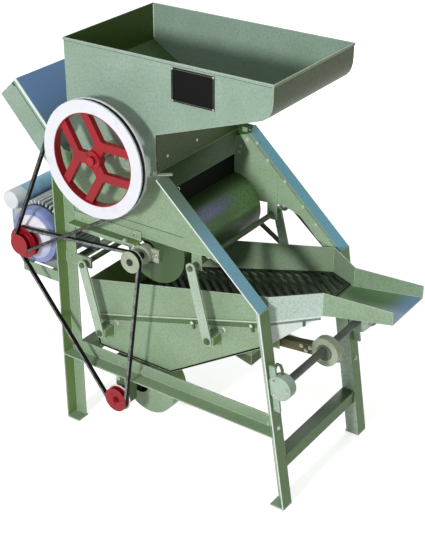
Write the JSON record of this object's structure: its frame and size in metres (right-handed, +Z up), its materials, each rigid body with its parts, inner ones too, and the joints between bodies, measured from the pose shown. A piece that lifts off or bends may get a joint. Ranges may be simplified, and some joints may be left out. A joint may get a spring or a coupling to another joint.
{
  "type": "peanut sheller",
  "caption": "Belt-driven peanut sheller: open hopper, spoked flywheel, shelling rotor, fans and a swinging sieve with a discharge tray on an angle-iron frame.",
  "frame": {"origin": "on the floor, midway between the rear and front feet and between the two sides", "axes": "+X along the machine from the motor to the discharge tray, +Y from the belt side to the far side, +Z up"},
  "size_m": [1.2243, 0.566, 1.206],
  "materials": {
    "sage_paint": "light sage green hammered paint",
    "dark_green_paint": "the same green paint on faces turned from the light",
    "red_paint": "red enamel on a casting",
    "bare_steel": "turned steel",
    "cast_iron": "painted casting",
    "belt_rubber": "black V-belt",
    "motor_grey": "pale blue-grey enamel",
    "motor_blue": "blue shell",
    "black_plate": "black plate, left bare",
    "screen_black": "dark slotted sheet"
  },
  "bodies": {
    "frame": {"blower_bearing_far": "cast_iron", "blower_bearing_near": "cast_iron", "blower_casing": "dark_green_paint", "concave_grate": "bare_steel", "crank_bearing_far": "cast_iron", "crank_bearing_near": "cast_iron", "fan_bearing_far": "cast_iron", "fan_bearing_near": "cast_iron", "fan_belt": "belt_rubber", "fan_housing": "sage_paint", "front_cross_rail": "dark_green_paint", "front_leg_far": "sage_paint", "front_leg_near": "sage_paint", "front_pivot_rod": "bare_steel", "hopper_front": "dark_green_paint", "hopper_rear": "dark_green_paint", "hopper_side_far": "sage_paint", "hopper_side_near": "sage_paint", "lower_rail_far": "sage_paint", "lower_rail_near": "sage_paint", "main_belt": "belt_rubber", "middle_rail_far": "sage_paint", "middle_rail_near": "sage_paint", "motor_base": "sage_paint", "motor_body": "motor_grey", "motor_capacitor": "motor_blue", "name_plate": "black_plate", "rear_cross_rail": "dark_green_paint", "rear_leg_far": "sage_paint", "rear_leg_near": "sage_paint", "rear_pivot_rod": "bare_steel", "rotor_bearing_far": "cast_iron", "rotor_bearing_near": "cast_iron", "shell_chute": "sage_paint", "side_plate_far": "sage_paint", "side_plate_near": "sage_paint", "sieve_belt": "belt_rubber", "slanted_leg_far": "sage_paint", "slanted_leg_near": "sage_paint", "throat_front": "dark_green_paint"},
    "rotor": {"big_pulley": "red_paint", "rotor_shaft": "bare_steel", "shelling_rotor": "bare_steel"},
    "motor_rotor": {"motor_pulley": "red_paint"},
    "fan": {"fan_rotor": "bare_steel", "fan_pulley": "red_paint"},
    "blower": {"blower_rotor": "bare_steel", "blower_pulley": "cast_iron", "blower_far_pulley": "cast_iron"},
    "idler": {"idler_pulley": "cast_iron"},
    "crank": {"crank_shaft": "bare_steel", "crank_pulley": "cast_iron"},
    "strap": {"eccentric_strap": "cast_iron"},
    "hanger_rn": {"hanger_rear_near": "sage_paint"},
    "hanger_rf": {"hanger_rear_far": "sage_paint"},
    "hanger_fn": {"hanger_front_near": "sage_paint"},
    "hanger_ff": {"hanger_front_far": "sage_paint"},
    "sieve": {"sieve_box": "sage_paint", "sieve_screen": "screen_black", "discharge_tray": "sage_paint"}
  },
  "joints": [
    {"name": "rotor_spin", "type": "hinge", "parent": "frame", "child": "rotor", "pos_m": [-0.196, 0, 0.924], "axis": [0, 1, 0], "continuous": true},
    {"name": "motor_spin", "type": "hinge", "parent": "frame", "child": "motor_rotor", "pos_m": [-0.492, 0, 0.588], "axis": [0, 1, 0], "continuous": true},
    {"name": "fan_spin", "type": "hinge", "parent": "frame", "child": "fan", "pos_m": [-0.172, 0, 0.165], "axis": [0, 1, 0], "continuous": true},
    {"name": "blower_spin", "type": "hinge", "parent": "frame", "child": "blower", "pos_m": [-0.098, 0, 0.642], "axis": [0, 1, 0], "continuous": true},
    {"name": "idler_spin", "type": "hinge", "parent": "frame", "child": "idler", "pos_m": [0.07, 0, 0.655], "axis": [0, 1, 0], "continuous": true},
    {"name": "crank_spin", "type": "hinge", "parent": "frame", "child": "crank", "pos_m": [0.361, 0, 0.388], "axis": [0, 1, 0], "continuous": true},
    {"name": "strap_turn", "type": "hinge", "parent": "crank", "child": "strap", "pos_m": [0.361, 0, 0.379], "axis": [0, 1, 0], "continuous": true},
    {"name": "hanger_fn_swing", "type": "hinge", "parent": "frame", "child": "hanger_fn", "pos_m": [0.07, 0, 0.655], "axis": [0, 1, 0], "range_deg": [-2.5, 2.5]},
    {"name": "hanger_ff_swing", "type": "hinge", "parent": "frame", "child": "hanger_ff", "pos_m": [0.07, 0, 0.655], "axis": [0, 1, 0], "range_deg": [-2.5, 2.5]},
    {"name": "hanger_rn_swing", "type": "hinge", "parent": "frame", "child": "hanger_rn", "pos_m": [-0.312, 0, 0.548], "axis": [0, 1, 0], "range_deg": [-2.5, 2.5]},
    {"name": "hanger_rf_swing", "type": "hinge", "parent": "frame", "child": "hanger_rf", "pos_m": [-0.312, 0, 0.548], "axis": [0, 1, 0], "range_deg": [-2.5, 2.5]},
    {"name": "sieve_hang", "type": "hinge", "parent": "hanger_fn", "child": "sieve", "pos_m": [0.123, 0, 0.446], "axis": [0, 1, 0], "range_deg": [-2.5, 2.5]}
  ],
  "couplings": [
    {"joint": "motor_spin", "follows": "rotor_spin", "ratio": 6.1154},
    {"joint": "fan_spin", "follows": "rotor_spin", "ratio": 8.0264},
    {"joint": "blower_spin", "follows": "rotor_spin", "ratio": 9.8787},
    {"joint": "idler_spin", "follows": "rotor_spin", "ratio": 9.2976},
    {"joint": "crank_spin", "follows": "rotor_spin", "ratio": 4.3905},
    {"joint": "strap_turn", "follows": "rotor_spin", "ratio": -4.3905},
    {"joint": "hanger_ff_swing", "follows": "hanger_fn_swing", "ratio": 1},
    {"joint": "hanger_rn_swing", "follows": "hanger_fn_swing", "ratio": 1},
    {"joint": "hanger_rf_swing", "follows": "hanger_fn_swing", "ratio": 1},
    {"joint": "sieve_hang", "follows": "hanger_fn_swing", "ratio": -1}
  ]
}
